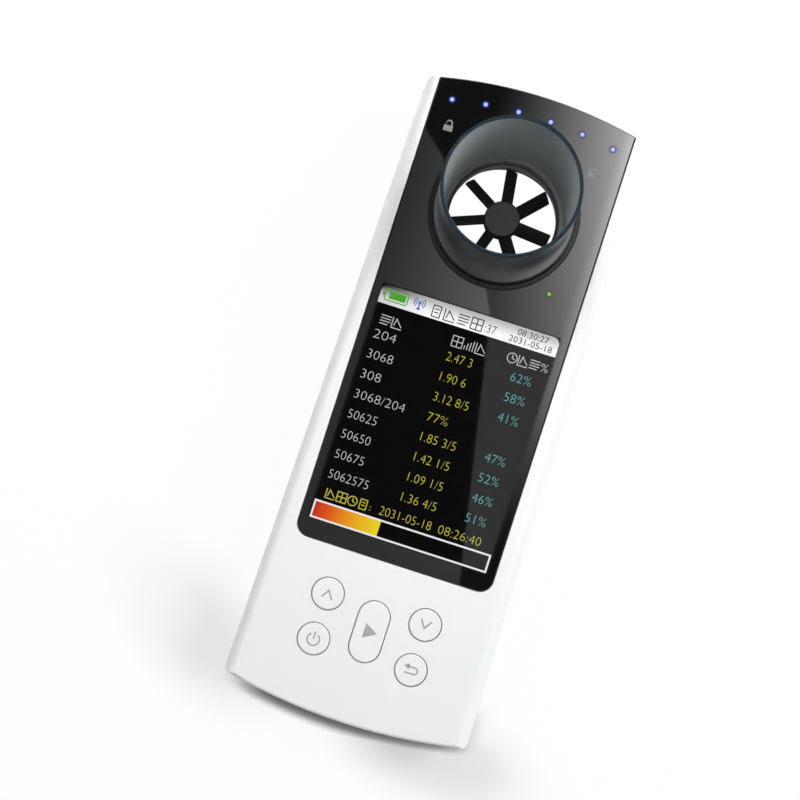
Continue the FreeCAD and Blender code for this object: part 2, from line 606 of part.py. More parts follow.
def make_lock_collar():
    low = FACE + COLLAR_LIFT
    rim_in = SKIRT_OUT + COLLAR_STEP / 4
    collar = turned([
        (SKIRT_IN, SKIRT_LOW), (SKIRT_OUT, SKIRT_LOW), (SKIRT_OUT, low), (COLLAR_RADIUS, low),
        (COLLAR_RADIUS, low + COLLAR_RIM_HEIGHT * 0.6), (COLLAR_RADIUS - COLLAR_EDGE, low + COLLAR_RIM_HEIGHT),
        (rim_in, low + COLLAR_RIM_HEIGHT), (rim_in - COLLAR_GROOVE, low + COLLAR_RIM_HEIGHT - COLLAR_GROOVE),
        (SKIRT_OUT - COLLAR_GROOVE / 2, low + COLLAR_HEIGHT), (SKIRT_IN, low + COLLAR_HEIGHT),
    ])
    lug_high = FACE - LUG_DEPTH
    inside = turbine_post(0, MOUTH_TOP, SKIRT_IN + COLLAR_SKIRT_WALL / 2)
    for angle in lug_angles():
        lug = sector(LUG_RADIUS, lug_high - LUG_HEIGHT, lug_high, LUG_WIDTH_DEG, angle)
        collar = collar.fuse(lug.cut(inside))
    index_low = low + COLLAR_RIM_HEIGHT - INDEX_DEPTH
    index = sector(COLLAR_RADIUS - COLLAR_STEP, index_low, MOUTH_TOP, INDEX_WIDTH_DEG, INDEX_ANGLE)
    return collar.cut(index.cut(turbine_post(0, 2 * MOUTH_TOP, SKIRT_OUT - INDEX_BITE)))


def make_socket():
    ledge_z = FACE - LEDGE_DEPTH
    undercut_z = FACE - UNDERCUT_DEPTH
    seat_radius = UNIT_FLANGE_RADIUS + SOCKET_GAP
    seal_in = OUTLET_TOP_RADIUS
    socket = turned([
        (seal_in, SOCKET_LOW - FLOOR_WIDTH / 2), (SOCKET_RADIUS, SOCKET_LOW - FLOOR_WIDTH / 2),
        (SOCKET_RADIUS, GLASS_BACK), (SKIRT_OUT + SOCKET_GAP, GLASS_BACK), (SKIRT_OUT + SOCKET_GAP, ledge_z),
        (NOTCH_RADIUS, ledge_z), (NOTCH_RADIUS, undercut_z), (seat_radius, undercut_z),
        (seat_radius, SOCKET_LOW), (seal_in, SOCKET_LOW),
    ])
    for angle in lug_angles():
        width = LUG_WIDTH_DEG + 2 * NOTCH_CLEAR_DEG
        socket = socket.cut(sector(NOTCH_RADIUS, ledge_z - 1, FACE, width, angle))
    for side in (1, -1):
        start = V(side * (NOTCH_RADIUS - SOCKET_WALL), TURBINE_Y, ir_height())
        hole = Part.makeCylinder(IR_RADIUS + GUIDE_GAP, 3 * SOCKET_WALL, start, V(side, 0, 0))
        socket = socket.cut(hole)
    return socket


def make_seal():
    return turned([
        (OUTLET_TOP_RADIUS + SEAL_GAP, SOCKET_LOW), (UNIT_FLANGE_RADIUS, SOCKET_LOW),
        (UNIT_FLANGE_RADIUS, SOCKET_LOW + SEAL_THICK), (OUTLET_TOP_RADIUS + SEAL_GAP, SOCKET_LOW + SEAL_THICK),
    ])


def make_outlet_ring():
    top = SOCKET_LOW - FLOOR_WIDTH / 2
    top_radius = THROAT_RADIUS + (THROAT_Z - top) * FLARE
    flange = OUTLET_LOW_RADIUS + OUTLET_FLANGE
    return turned([
        (top_radius, top), (SOCKET_RADIUS, top), (SOCKET_RADIUS, BACK_WALL), (flange, BACK_WALL),
        (flange, OUTLET_LIP), (flange - OUTLET_LIP, 0), (OUTLET_LOW_RADIUS, 0),
    ])


def ir_height():
    return SHOULDER_Z - HUB_HEIGHT / 2


def make_ir_part(side):
    tip = NOTCH_RADIUS + SOCKET_GAP
    z = ir_height()
    along = V(side, 0, 0)
    body = Part.makeCylinder(IR_RADIUS, IR_LENGTH - IR_RADIUS, V(side * (tip + IR_RADIUS), TURBINE_Y, z), along)
    nose = Part.makeCone(IR_RADIUS / 2, IR_RADIUS, IR_RADIUS, V(side * tip, TURBINE_Y, z), along)
    tail = tip + IR_LENGTH
    flange = Part.makeCylinder(IR_FLANGE_RADIUS, IR_FLANGE_THICK, V(side * tail, TURBINE_Y, z), along)
    device = body.multiFuse([nose, flange])
    for step in (-1, 1):
        x_leg = side * (tail + IR_FLANGE_THICK / 2)
        leg = block(x_leg, TURBINE_Y + step * IR_LEG_SPREAD, BOARD_HIGH, (IR_LEG, IR_LEG, z - BOARD_HIGH))
        device = device.fuse(leg)
    return device


def make_key(name):
    x, y = KEYS[name]
    flange_high = CEILING - KEY_FLANGE_GAP
    flange_low = flange_high - KEY_FLANGE_THICK
    cap = key_column(name, 0, flange_low, FACE)
    cap = cap.makeChamfer(KEY_EDGE, upper_rim(cap, FACE))
    flange = key_column(name, KEY_FLANGE, flange_low, flange_high)
    stem = post(x, y, plunger_top(), flange_high, KEY_STEM_RADIUS)
    return cap.multiFuse([flange, stem])


def plunger_top():
    return BOARD_HIGH + SWITCH_HEIGHT - SWITCH_WELL + KEY_TRAVEL * 2 + PLUNGER_LENGTH


def make_plunger(name):
    x, y = KEYS[name]
    return post(x, y, plunger_top() - PLUNGER_LENGTH, plunger_top(), PLUNGER_RADIUS)


def make_switches():
    switches = []
    for x, y in KEYS.values():
        case = block(x, y, BOARD_HIGH, (SWITCH_SIZE, SWITCH_SIZE, SWITCH_HEIGHT))
        top = BOARD_HIGH + SWITCH_HEIGHT
        switches.append(case.cut(post(x, y, top - SWITCH_WELL, top + 1, PLUNGER_RADIUS + PLUNGER_GAP)))
    return Part.makeCompound(switches)


def make_board():
    inset = SIDE_WALL + LIP_GAP + LIP_THICK + BOARD_GAP
    board = ring_slab(inset).common(level_band(BOARD_LOW, BOARD_HIGH))
    cuts = [turbine_post(0, FACE, SOCKET_RADIUS + BOARD_HOLE_GAP)]
    boss_radius = SCREW_HEAD_RADIUS + SCREW_GAP + BACK_BOSS_WALL
    for x, y in SCREW_PLACES:
        cuts.append(post(x, y, 0, FACE, boss_radius + BOARD_HOLE_GAP))
    for x, y in BOARD_SCREW_PLACES:
        cuts.append(post(x, y, 0, FACE, BOARD_SCREW_RADIUS + GUIDE_GAP))
    return board.cut(Part.makeCompound(cuts))


def make_screws():
    screws = []
    for x, y in SCREW_PLACES:
        head = post(x, y, SCREW_HEAD_SUNK, SCREW_HEAD_SUNK + SCREW_HEAD_THICK, SCREW_HEAD_RADIUS)
        shank = post(x, y, SCREW_HEAD_SUNK, SPLIT_Z + SCREW_GRIP, SCREW_RADIUS)
        screws.append(head.fuse(shank))
    return Part.makeCompound(screws)


def make_board_screws():
    screws = []
    for x, y in BOARD_SCREW_PLACES:
        head = post(x, y, BOARD_HIGH, BOARD_HIGH + BOARD_SCREW_HEAD_THICK, BOARD_SCREW_HEAD_RADIUS)
        screws.append(head.fuse(post(x, y, BOARD_HIGH - BOARD_SCREW_LENGTH, BOARD_HIGH, BOARD_SCREW_RADIUS)))
    return Part.makeCompound(screws)


def make_port():
    width, depth, height = PORT_SIZE
    y_front = -TOP_Y + PORT_STEP
    shell = block(0, y_front + depth / 2, BOARD_LOW - height, (width, depth, height))
    long_edges = [e for e in shell.Edges if e.BoundBox.YLength > depth - 0.1]
    shell = shell.makeFillet(height * 0.45, long_edges)
    mouth_size = (width - 2 * PORT_WALL, depth - PORT_BACK_WALL, height - 2 * PORT_WALL)
    mouth = block(0, y_front + mouth_size[1] / 2, BOARD_LOW - height + PORT_WALL, mouth_size)
    mouth_edges = [e for e in mouth.Edges if e.BoundBox.YLength > mouth_size[1] - 0.1]
    mouth = mouth.makeFillet(mouth_size[2] * 0.45, mouth_edges)
    tongue_low = BOARD_LOW - height / 2 - PORT_TONGUE[1] / 2
    tongue_y = y_front + depth / 2 + PORT_BACK_WALL / 2
    tongue = block(0, tongue_y, tongue_low, (PORT_TONGUE[0], mouth_size[1], PORT_TONGUE[1]))
    return shell.cut(mouth).fuse(tongue)


def make_lcd_flex():
    """The screen's ribbon: out of its lower edge, round a half turn and back to its socket on the board."""
    y_edge = SCREEN_LOW_Y - LCD_LOW_BORDER
    high = GLASS_BACK - LCD_THICK + FLEX_INTO_SCREEN
    low = BOARD_HIGH + FLEX_PLUG_SIZE[2] / 2
    radius = (high - low) / 2
    z_mid = (high + low) / 2
    outer = Part.makeCylinder(radius, FLEX_WIDTH, V(-FLEX_WIDTH / 2, y_edge, z_mid), V(1, 0, 0))
    inner_radius = radius - FLEX_THICK
    inner = Part.makeCylinder(inner_radius, FLEX_WIDTH, V(-FLEX_WIDTH / 2, y_edge, z_mid), V(1, 0, 0))
    behind = block(0, y_edge - FACE, 0, (FLEX_WIDTH * 2, 2 * FACE, FACE))
    return outer.cut(inner).common(behind)


def make_leads():
    z = BOARD_LOW - PLUG_SIZE[2] / 2
    leads = []
    for side in (1, -1):
        start = V(side * LEAD_SPREAD, BATTERY_LOW_Y - LEAD_LENGTH, z)
        leads.append(Part.makeCylinder(LEAD_RADIUS, LEAD_LENGTH, start, V(0, 1, 0)))
    return Part.makeCompound(leads)


outer_slab, inner_slab = housing_shell()
save("front_cover", make_front_cover(outer_slab, inner_slab))
save("rear_cover", make_rear_cover(outer_slab, inner_slab))
save("front_glass", make_glass())
save("lcd_module", make_lcd())
save("lcd_flex", make_lcd_flex())
flex_plug_y = SCREEN_LOW_Y - LCD_LOW_BORDER + FLEX_PLUG_SIZE[1] / 2
save("lcd_connector", block(0, flex_plug_y, BOARD_HIGH, FLEX_PLUG_SIZE))
save("mouth_tube", make_mouth_tube())
save("turbine_body", make_turbine_body())
save("rotor_bridge", make_rotor_bridge())
save("shaft_bushes", make_bushes())
save("turbine_rotor", make_rotor())
save("rotor_shaft", make_shaft())
save("shaft_clip", make_shaft_clip())
save("lock_collar", make_lock_collar())
save("turbine_socket", make_socket())
save("seal_ring", make_seal())
save("outlet_ring", make_outlet_ring())
save("ir_emitter", make_ir_part(-1))
save("ir_detector", make_ir_part(1))
for key_name in KEYS:
    save("key_" + key_name, make_key(key_name))
    save("plunger_" + key_name, make_plunger(key_name))
save("tact_switches", make_switches())
save("main_board", make_board())
save("housing_screws", make_screws())
save("board_screws", make_board_screws())
save("charge_port", make_port())
battery_size = (BATTERY_WIDTH, BATTERY_LENGTH, BATTERY_THICK)
pad_size = (PAD_SIZE[0], BATTERY_LENGTH - 2 * PAD_INSET, PAD_SIZE[1])
save("battery", block(0, BATTERY_Y, BACK_WALL + PAD_SIZE[1], battery_size))
save("battery_pad", block(0, BATTERY_Y, BACK_WALL, pad_size))
save("battery_leads", make_leads())
plug_y = BATTERY_LOW_Y - LEAD_LENGTH - PLUG_SIZE[1] / 2
save("battery_connector", block(0, plug_y, BOARD_LOW - PLUG_SIZE[2], PLUG_SIZE))
save("buzzer", post(*BUZZER_PLACE, BOARD_LOW - BUZZER_HEIGHT, BOARD_LOW, BUZZER_RADIUS))
save("main_chip", block(0, CHIP_Y, BOARD_HIGH, CHIP_SIZE))
save("radio_module", block(*RADIO_PLACE, BOARD_HIGH, RADIO_SIZE))
status_leds = [block(x, y, BOARD_HIGH, LED_SIZE) for x, y in LED_PLACES]
save("status_leds", Part.makeCompound(status_leds))
guide_low = BOARD_HIGH + LED_SIZE[2] + GUIDE_GAP
guide_size = (GUIDE_SIDE, GUIDE_SIDE, GLASS_BACK - guide_low)
guides = [block(x, y, guide_low, guide_size) for x, y in LED_PLACES]
save("light_guides", Part.makeCompound(guides))
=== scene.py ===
"""A handheld turbine spirometer lying on its back: the looks that go over its CAD frame."""

import math

import bmesh
import bpy
from mathutils import Matrix, Vector


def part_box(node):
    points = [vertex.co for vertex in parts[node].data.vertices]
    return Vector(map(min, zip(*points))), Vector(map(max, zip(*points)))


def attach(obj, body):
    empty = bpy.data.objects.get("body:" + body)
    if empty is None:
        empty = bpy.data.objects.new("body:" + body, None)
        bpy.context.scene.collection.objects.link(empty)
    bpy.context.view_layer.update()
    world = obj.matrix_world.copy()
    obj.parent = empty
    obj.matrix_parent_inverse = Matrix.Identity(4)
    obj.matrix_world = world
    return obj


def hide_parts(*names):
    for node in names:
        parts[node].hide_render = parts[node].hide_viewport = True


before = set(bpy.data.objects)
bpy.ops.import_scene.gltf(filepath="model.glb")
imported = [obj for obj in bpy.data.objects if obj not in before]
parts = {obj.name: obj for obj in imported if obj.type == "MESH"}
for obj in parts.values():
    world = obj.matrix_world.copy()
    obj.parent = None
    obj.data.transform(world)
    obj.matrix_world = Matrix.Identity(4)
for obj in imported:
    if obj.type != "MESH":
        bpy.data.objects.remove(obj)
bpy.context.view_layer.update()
scene = bpy.context.scene
scene.view_settings.view_transform = "Standard"

# The camera stands over the spirometer and leans a little to its left.
# It is close, so the tube that stands up out of the face leans outwards.
camera = bpy.data.objects.new("camera", bpy.data.cameras.new("camera"))
scene.collection.objects.link(camera)
camera.location = (0.00174, -0.02025, 0.26897)
camera.rotation_euler = [math.radians(turn) for turn in (0.72, 1.16, 17.83)]
camera.data.lens = 48.11
camera.data.sensor_width = 36
camera.data.shift_y = 0.1
camera.data.clip_start = 0.01
scene.camera = camera


# The table is a plain white sheet of paper, much larger than the view.
# It keeps the soft shadows at the keypad end, with a painted contact shadow along its edge, and under the turbine it
# shows painted white light.
class Wire:
    """One output in a finish. Arithmetic on it adds the Math nodes that it needs."""

    def __init__(self, socket):
        self.socket = socket

    def node(self, kind, settings=None, sockets=None, out=0):
        """Adds a node of that kind, makes its settings, feeds its sockets and returns one output."""
        made = self.socket.id_data.nodes.new("ShaderNode" + kind)
        for setting, value in (settings or {}).items():
            if setting == "stops":
                set_stops(made.color_ramp.elements, value)
            else:
                setattr(made, setting, value)
        feed(made, sockets or {})
        return Wire(made.outputs[out])

    def beside(self, out):
        """Another output of the node that this one comes from."""
        return Wire(self.socket.node.outputs[out])

    def split(self):
        """The three coordinates of a place."""
        apart = self.node("SeparateXYZ", sockets={0: self})
        return [apart.beside(out) for out in range(3)]

    def maths(self, operation, *values):
        """The outcome of one Math node."""
        return self.node("Math", {"operation": operation}, dict(enumerate(values)))

    def __add__(self, other):
        return self.maths("ADD", self, other)

    def __sub__(self, other):
        return self.maths("SUBTRACT", self, other)

    def __rsub__(self, other):
        return self.maths("SUBTRACT", other, self)

    def __mul__(self, other):
        return self.maths("MULTIPLY", self, other)

    def __truediv__(self, other):
        return self.maths("DIVIDE", self, other)

    def __pow__(self, other):
        return self.maths("POWER", self, other)

    def __abs__(self):
        return self.maths("ABSOLUTE", self)

    def __lt__(self, other):
        return self.maths("LESS_THAN", self, other)

    def __gt__(self, other):
        return self.maths("GREATER_THAN", self, other)

    __radd__ = __add__
    __rmul__ = __mul__

    def or_more(self, other):
        """This value, or the other one where that is larger."""
        return self.maths("MAXIMUM", self, other)

    def ramp(self, start, end):
        """0 up to start and 1 from end, with a soft rise between them."""
        return self.node("MapRange", {"interpolation_type": "SMOOTHSTEP"}, {0: self, 1: start, 2: end})

    def fade(self, start, end):
        """1 up to start and 0 from end, with a soft fall between them."""
        return 1 - self.ramp(start, end)

    def between(self, first, second):
        """The first number where this is 0 and the second where it is 1."""
        return (1 - self) * first + self * second

    def either(self, first, second):
        """The first colour where this is 0 and the second where it is 1."""
        return self.node("Mix", {"data_type": "RGBA"}, {0: self, 6: first, 7: second}, out=2)


def set_stops(stops, wanted):
    """Gives a colour ramp its stops, each a place and a colour."""
    for place, _ in wanted[1:-1]:
        stops.new(place)
    stops[0].position, stops[-1].position = wanted[0][0], wanted[-1][0]
    for stop, (_, colour) in zip(stops, wanted):
        stop.color = (*colour, 1)


def feed(node, sockets):
    """Sets a node's sockets, or links the wires that come to them."""
    for name, value in sockets.items():
        socket = node.inputs[name]
        if isinstance(value, Wire):
            node.id_data.links.new(value.socket, socket)
        elif socket.type == "RGBA":
            socket.default_value = (*value, 1)
        else:
            socket.default_value = value


def start_finish(name):
    """A new finish, its shader, and the place on the piece in metres."""
    made = bpy.data.materials.new(name)
    made.use_nodes = True
    shader = made.node_tree.nodes["Principled BSDF"]
    return made, shader, Wire(made.node_tree.nodes.new("ShaderNodeTexCoord").outputs["Object"])


def in_millimetres(place):
    """How far a place is across, along and up."""
    return [distance * 1000 for distance in place.split()]


def middle_of(node):
    """The middle of a CAD node seen from above, in millimetres."""
    low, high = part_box(node)
    return (low.xy + high.xy) / 2 * 1000


def from_turbine(across, along):
    """How far a place is from the turbine's axis, in millimetres."""
    return ((across - turbine_axis.x) ** 2 + (along - turbine_axis.y) ** 2) ** 0.5


def oval(across, along, middle, half_length, half_width, turn=0):
    """0 in the middle of an oval patch and 1 on its edge; the turn is that of its length, in degrees."""
    cos, sin = math.cos(math.radians(turn)), math.sin(math.radians(turn))
    right, up = across - middle[0], along - middle[1]
    lengthwise, sideways = right * cos + up * sin, up * cos - right * sin
    return ((lengthwise / half_length) ** 2 + (sideways / half_width) ** 2) ** 0.5


def make_piece(name, shape, finish):
    """Makes an object of a shape that is drawn in millimetres."""
    bmesh.ops.scale(shape, vec=(0.001, 0.001, 0.001), verts=shape.verts)
    mesh = bpy.data.meshes.new(name)
    shape.to_mesh(mesh)
    shape.free()
    mesh.materials.append(finish)
    piece = bpy.data.objects.new(name, mesh)
    scene.collection.objects.link(piece)
    return piece


def flat_sheet(name, width, depth, height, finish):
    """A flat sheet at that height, with its middle on the origin."""
    sheet = bmesh.new()
    bmesh.ops.create_grid(sheet, x_segments=1, y_segments=1, size=0.5)
    bmesh.ops.scale(sheet, vec=(width, depth, 1), verts=sheet.verts)
    bmesh.ops.translate(sheet, vec=(0, 0, height), verts=sheet.verts)
    return make_piece(name, sheet, finish)


turbine_axis = middle_of("turbine_body")
paper_light, left_dark, end_dark = 0.94, 0.50, 0.8
left_middle, left_width, left_turn = (-46, -68), 19, 150
end_middle, end_width = (29, -83), 17
patch_length, painted_light_radius = 36, 17
paper_size, paper_height = 6000, -0.1
paper, shader, place = start_finish("white paper")
across, along, _ = in_millimetres(place)
light_path = place.node("LightPath")
seen = light_path.or_more(light_path.beside("Is Transmission Ray"))
left_patch = oval(across, along, left_middle, patch_length, left_width, left_turn)
end_patch = oval(across, along, end_middle, patch_length, end_width)
left_shade, end_shade = left_dark * left_patch.fade(0.2, 1.1), end_dark * end_patch.fade(0.2, 1.0)

# The keypad end of the case is a bow, and the paper has a shadow along it: its real shade, with a painted
# contact shadow in its colour where the case touches the paper. How far a place lies beyond the bow is its past_end.
bow_middle, bow_end, bow_width = 3, 78.5, 276
past_end = across ** 2 / bow_width - bow_end - along
from_middle = abs(across - bow_middle)
near_end = along.fade(-72, -62)
end_line = from_middle.fade(26, 37) * past_end.fade(4.0, 6.5) * near_end
painted_contact_shadow = from_middle.fade(22, 33) * past_end.fade(2.9, 5.3) * near_end
lit_share = paper_light - left_shade - paper_light * end_shade.or_more(end_line)
# Under the turbine the paper is painted white for camera rays: painted light where the case shades it.
lit_share = lit_share.or_more(from_turbine(across, along) < painted_light_radius)
# The grey in the paper's colour along the keypad end is a painted contact shadow.
feed(shader, {
    "Base Color": painted_contact_shadow.either((0.9, 0.9, 0.9), (0.33, 0.34, 0.35)),
    "Roughness": 0.9,
    "Specular IOR Level": 0.1,
})
white_light = place.node("Emission", sockets={"Color": (1, 1, 1), "Strength": 1.0})
paper_mix = place.node("MixShader", sockets={0: seen * lit_share, 1: Wire(shader.outputs[0]), 2: white_light})
feed(paper.node_tree.nodes["Material Output"], {"Surface": paper_mix})
flat_sheet("table", paper_size, paper_size, paper_height, paper)

# The room is a white studio with one broad soft lamp to the right of the turbine end.
# A weaker broad lamp on the left keeps that side of the case from going grey.
room_strength, dimming = 0.48, 0.8
world = bpy.data.worlds.new("studio")
scene.world = world
world.use_nodes = True
light_path = Wire(world.node_tree.nodes.new("ShaderNodeLightPath").outputs["Is Camera Ray"])
shown = light_path.or_more(light_path.beside("Is Glossy Ray"))
to_right, to_turbine, _ = Wire(world.node_tree.nodes.new("ShaderNodeTexCoord").outputs["Generated"]).split()

# The room is dimmer towards the left of the keypad end, which shades the case softly.
dim_side = -0.75 * to_right - 0.66 * to_turbine
room_light = room_strength * (1 - dimming * dim_side.ramp(0.1, 0.9))
feed(world.node_tree.nodes["Background"], {"Color": (1, 1, 1), "Strength": shown.between(room_light, 1)})


def soft_lamp(name, place, aim, size, power):
    """A square soft lamp that points from its place to its aim, in metres. Shiny surfaces don't show it."""
    lamp = bpy.data.objects.new(name, bpy.data.lights.new(name, "AREA"))
    lamp.data.size = size
    lamp.data.energy = power
    lamp.location = place
    lamp.rotation_euler = (Vector(aim) - Vector(place)).to_track_quat("-Z", "Y").to_euler()
    lamp.visible_glossy = False
    scene.collection.objects.link(lamp)


soft_lamp("right_lamp", place=(0.50, 0.28, 0.50), aim=(0, 0, 0), size=0.45, power=4.0)
soft_lamp("left_lamp", place=(-0.27, 0.20, 0.34), aim=(-0.02, 0.06, 0), size=0.24, power=1.0)


# A dark card hangs over the table with a grey picture of a window and its frame on it.
# Only shiny surfaces see it: it gives the glass its two grey fields and their slanting edge.
def top_of(node):
    """The height of a CAD node's top, in millimetres."""
    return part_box(node)[1].z * 1000


def inside(across, along, left, low, right, high):
    """1 inside a rectangle and 0 outside it."""
    return (across > left) * (across < right) * (along > low) * (along < high)


def light_of(grey):
    """The light that a grey of the picture stands for, from 0 to 255."""
    return (grey / 255) ** 2.2


card_width, card_depth, card_height = 620, 900, 780
glass_top = top_of("front_glass")
glass_tint = 0.8
glass_shine = 0.0427
clear_window = (-21.9, -33.4, 21.7, 24.0)
card, shader, place = start_finish("window picture")
across, along, _ = in_millimetres(place)

# Each place on the card is worked out as the place on the glass where the camera sees it.
eye = camera.location * 1000
stretch = (card_height - glass_top) / (eye.z - glass_top)
glass_x = (across + stretch * eye.x) / (1 + stretch)
glass_y = (along + stretch * eye.y) / (1 + stretch)

# The right field is lighter towards its upper right corner, and the left one towards its edge.
# Their levels are greys from 0 to 255, and they meet along window_edge, which falls to the right.
darkest, left_on_screen, right_on_screen = 17, 12, 52
upwards = ((glass_y - 27) / 46).or_more(-0.6)
right_field = 45 + 17 * upwards + (2.7 + 1.9 * upwards) * glass_x
right_field = right_field + 20 * glass_x.ramp(20.5, 23.5) * glass_y.ramp(-20, 25)
right_field = right_field.or_more(0) * glass_x.ramp(-26, -8) * glass_y.ramp(-42, 10)
left_field = 46 + 1.6 * (glass_x + 23.5) * glass_y.ramp(-52, 25)
window_edge = [(-23.5, 61.25), (-17.84, 56.35), (1.61, 29.4), (4.4, 23.7), (15.7, -33.4)]
left_side = 1
for (x, y), (next_x, next_y) in zip(window_edge, window_edge[1:]):
    left_side = left_side * (glass_y < y + (next_y - y) / (next_x - x) * (glass_x - x))
print_light = light_of(left_side.between(right_field.or_more(darkest), left_field)) / glass_shine
screen_grey = left_side.between(right_on_screen, left_on_screen)
screen_light = light_of(screen_grey) / (glass_shine * glass_tint)
feed(shader, {
    "Base Color": (0, 0, 0),
    "Emission Color": (1, 1, 1),
    "Emission Strength": inside(glass_x, glass_y, *clear_window).between(print_light, screen_light),
})
window_card = flat_sheet("window_card", card_width, card_depth, card_height, card)
for rays in ("camera", "diffuse", "transmission", "volume_scatter", "shadow"):
    setattr(window_card, "visible_" + rays, False)


# The two covers are injection moulded from white plastic with a fine satin texture.
# They clip together on a tongue that runs round the edge, and four screws hold them.
def dress(finish, *names):
    """Gives a finish to CAD nodes."""
    for name in names:
        for slot in parts[name].material_slots:
            slot.material = finish


def grain(place, size, detail=2.0):
    """A fine noise whose grains are that many millimetres across."""
    return place.node("TexNoise", sockets={"Vector": place, "Scale": 1000 / size, "Detail": detail})


def bump(height, strength, depth):
    """A bump of that depth in millimetres."""
    return height.node("Bump", sockets={"Height": height, "Strength": strength, "Distance": depth / 1000})


case_white, shader, place = start_finish("white case plastic")
feed(shader, {
    "Base Color": grain(place, 18).either((0.785, 0.79, 0.795), (0.815, 0.815, 0.815)),
    "Roughness": 0.36 + 0.1 * grain(place, 3),
    "IOR": 1.5,
    "Normal": bump(grain(place, 0.12, 3), 0.25, 0.02),
})
dress(case_white, "front_cover", "rear_cover")

# The five keys are white caps moulded a little smoother than the case.
# Each sits in its own hole with a narrow groove round it and slides on a plunger.
key_white, shader, place = start_finish("white key plastic")
feed(shader, {
    "Base Color": grain(place, 6).either((0.80, 0.805, 0.81), (0.83, 0.83, 0.83)),
    "Roughness": 0.3 + 0.08 * grain(place, 1.5),
    "Normal": bump(grain(place, 0.10, 3), 0.18, 0.015),
})
for which in ("up", "power", "play", "down", "back"):
    dress(key_white, "key_" + which, "plunger_" + which)


# The signs on the keys are pad-printed in grey: up, down, power, return and a triangle.
# The ink is a hundredth of a millimetre thick and follows its key when it is pressed.
def stroke(drawing, path, width, closed=False):
    """Draws a flat line of that width along a path, in millimetres, mitred at its corners."""
    path = [Vector(point) for point in path]
    stations = []
    for i, point in enumerate(path):
        before = path[i - 1] if i or closed else None
        after = path[(i + 1) % len(path)] if i + 1 < len(path) or closed else None
        way_in = (point - before).normalized() if before is not None else (after - point).normalized()
        way_out = (after - point).normalized() if after is not None else way_in
        side = Vector((-way_in.y - way_out.y, way_in.x + way_out.x)).normalized()
        reach = width / 2 / max(sharpest_mitre, side.dot(Vector((-way_in.y, way_in.x))))
        stations.append((point + side * reach, point - side * reach))
    if closed:
        stations.append(stations[0])
    left, right = (drawing.verts.new((*corner, 0)) for corner in stations[0])
    edge = drawing.edges.new((left, right))
    drawn = [left, right]
    for left_place, right_place in stations[1:]:
        grown = bmesh.ops.extrude_edge_only(drawing, edges=[edge])["geom"]
        edge = next(item for item in grown if isinstance(item, bmesh.types.BMEdge))
        near_left = min(edge.verts, key=lambda corner: (corner.co - left.co).length)
        near_right = edge.other_vert(near_left)
        near_left.co, near_right.co = (*left_place, 0), (*right_place, 0)
        left, right = near_left, near_right
        drawn += [left, right]
    if closed:
        bmesh.ops.remove_doubles(drawing, verts=drawn, dist=0.001)


def arc_path(middle, radius, start, end, steps=24):
    """Points along an arc, its angles in degrees."""
    turns = [math.radians(start + (end - start) * i / steps) for i in range(steps + 1)]
    return [(middle[0] + radius * math.cos(turn), middle[1] + radius * math.sin(turn)) for turn in turns]


def dot(drawing, middle, radius, sides=40, turn=0):
    """Draws a flat round spot, or a triangle where it has three sides: its tip is up before the turn."""
    made = bmesh.ops.create_circle(drawing, cap_ends=True, segments=sides, radius=radius)["verts"]
    bmesh.ops.rotate(drawing, matrix=Matrix.Rotation(math.radians(turn), 3, "Z"), verts=made)
    bmesh.ops.translate(drawing, vec=(*middle, 0), verts=made)


def laid(name, shape, body, finish):
    """Makes a piece of a finished shape, and lets it ride on its body."""
    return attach(make_piece(name, shape, finish), body)


def printed(name, drawing, height, body, finish):
    """Turns a flat drawing into a thin layer of ink whose top is at that height."""
    raised = bmesh.ops.extrude_face_region(drawing, geom=list(drawing.faces))["geom"]
    top = [item for item in raised if isinstance(item, bmesh.types.BMVert)]
    bmesh.ops.translate(drawing, vec=(0, 0, ink_depth), verts=top)
    bmesh.ops.recalc_face_normals(drawing, faces=drawing.faces)
    bmesh.ops.translate(drawing, vec=(0, 0, height - ink_depth), verts=drawing.verts)
    return laid(name, drawing, body, finish)


def sign(which, *lines, triangle=None):
    """Prints the sign of a key: lines and a filled triangle, placed from the middle of the key."""
    drawing = bmesh.new()
    middle = middle_of("key_" + which)
    if triangle:
        place, radius, turn = triangle
        dot(drawing, middle + Vector(place), radius, 3, turn)
    for path, width in lines:
        stroke(drawing, [middle + Vector(point) for point in path], width)
    key_top = top_of("key_" + which)
    printed(which + "_sign", drawing, key_top + ink_depth, which + "_key", key_ink)


key_ink, shader, place = start_finish("grey key ink")
feed(shader, {
    "Base Color": grain(place, 0.4).either((0.30, 0.30, 0.31), (0.36, 0.36, 0.37)),
    "Roughness": 0.5 + 0.1 * grain(place, 0.2),
})

# The points of each sign are measured from the middle of its key.
ink_depth, sharpest_mitre = 0.008, 0.35
arrow_line, sign_line = 0.42, 0.38
arrow_half, arrow_tip, arrow_foot = 1.25, 0.8, -1.15
sign("up", ([(-arrow_half, arrow_foot), (0, arrow_tip), (arrow_half, arrow_foot)], arrow_line))
sign("down", ([(-arrow_half, -arrow_foot), (0, -arrow_tip), (arrow_half, -arrow_foot)], arrow_line))
open_ring = arc_path((0, -0.15), 1.45, 125, 415, 40)
sign("power", (open_ring, sign_line), ([(0, -0.1), (0, 1.75)], sign_line))
turning_back = [(-0.8, 0.75)] + arc_path((0.835, -0.015), 0.765, 90, -90, 16) + [(-1.35, -0.78)]
sign("back", (turning_back, sign_line), triangle=((-1.0, 0.75), 0.85, 90))
sign("play", triangle=((-0.25, 0), 2.1, -90))

